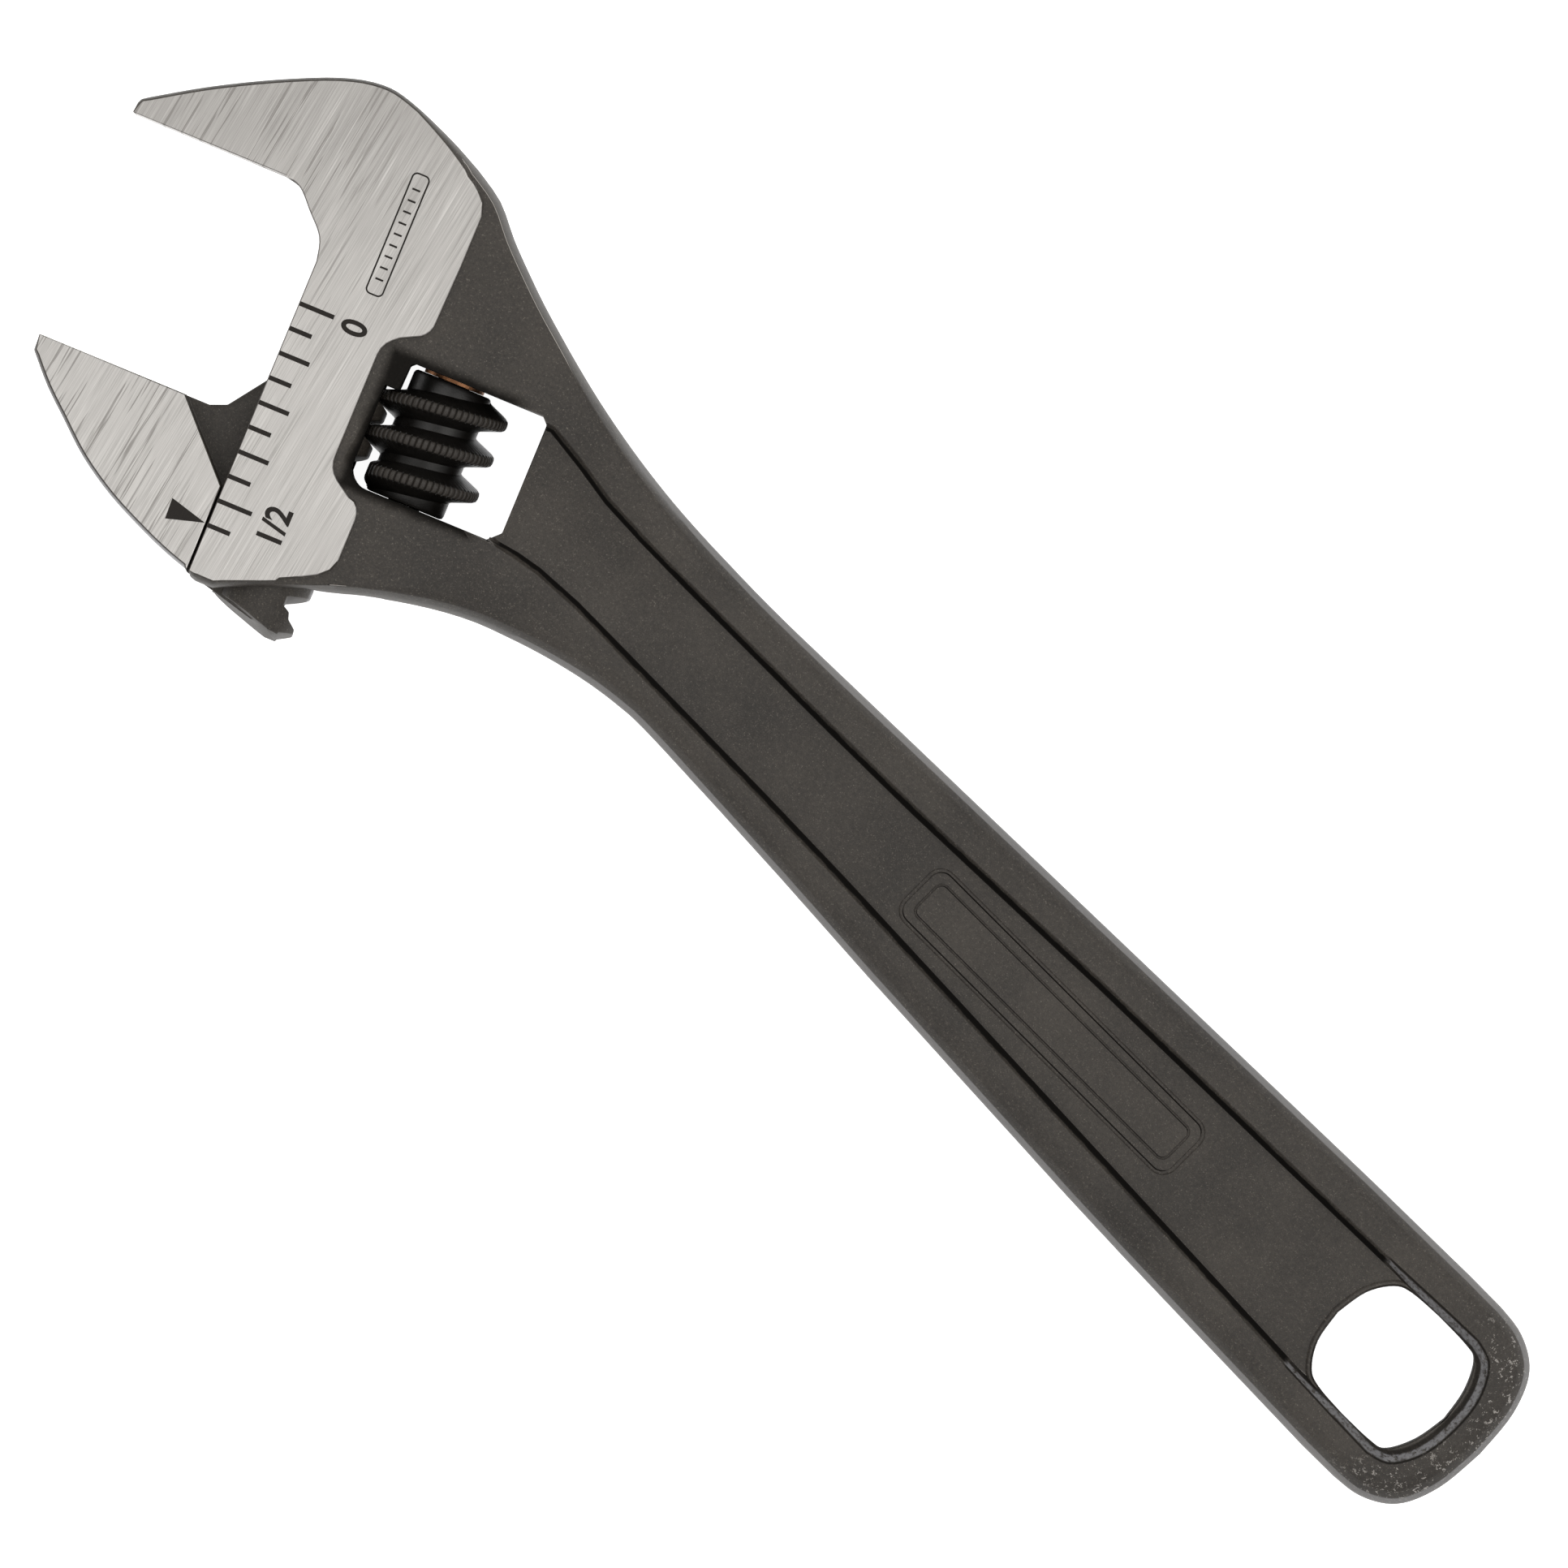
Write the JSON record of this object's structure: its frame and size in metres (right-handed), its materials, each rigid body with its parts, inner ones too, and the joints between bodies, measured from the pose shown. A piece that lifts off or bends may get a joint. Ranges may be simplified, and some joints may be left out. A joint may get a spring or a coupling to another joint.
{
  "type": "adjustable wrench",
  "caption": "Small adjustable wrench: forged black handle with bright ground jaws, a sliding lower jaw driven by a knurled screw, inch scale and a hanging hole.",
  "frame": {"origin": "middle of the overall box, on the plane of the back ground face that the wrench lies on", "axes": "+X along the handle towards the hanging hole, +Y across it towards the fixed jaw's side, +Z out of the face that carries the scale"},
  "size_m": [0.1136, 0.0294, 0.008],
  "materials": {
    "blackened_forging": "black phosphate on forged steel; the head's faces are ground bright",
    "ground_steel": "linear ground, with blackened web and rack",
    "oiled_black_steel": "glossy black oxide",
    "pin_steel": "smooth",
    "spring_steel": "smooth",
    "copper_alloy": "bare"
  },
  "bodies": {
    "wrench": {"body": "blackened_forging", "knurl_pin": "pin_steel", "knurl_spring": "spring_steel", "thrust_washer": "copper_alloy"},
    "sliding_jaw": {"movable_jaw": "ground_steel"},
    "adjusting_screw": {"knurl": "oiled_black_steel"}
  },
  "joints": [
    {"name": "knurl_spin", "type": "hinge", "parent": "wrench", "child": "adjusting_screw", "pos_m": [-0.03015, 0.00099, 0.004], "axis": [0.3827, -0.9239, 0], "range_deg": [0, 2241]},
    {"name": "jaw_slide", "type": "slide", "parent": "wrench", "child": "sliding_jaw", "axis": [-0.3827, 0.9239, 0], "range_m": [0, 0.01425]}
  ],
  "couplings": [
    {"joint": "knurl_spin", "follows": "jaw_slide", "rad_per_m": 2743.7}
  ]
}
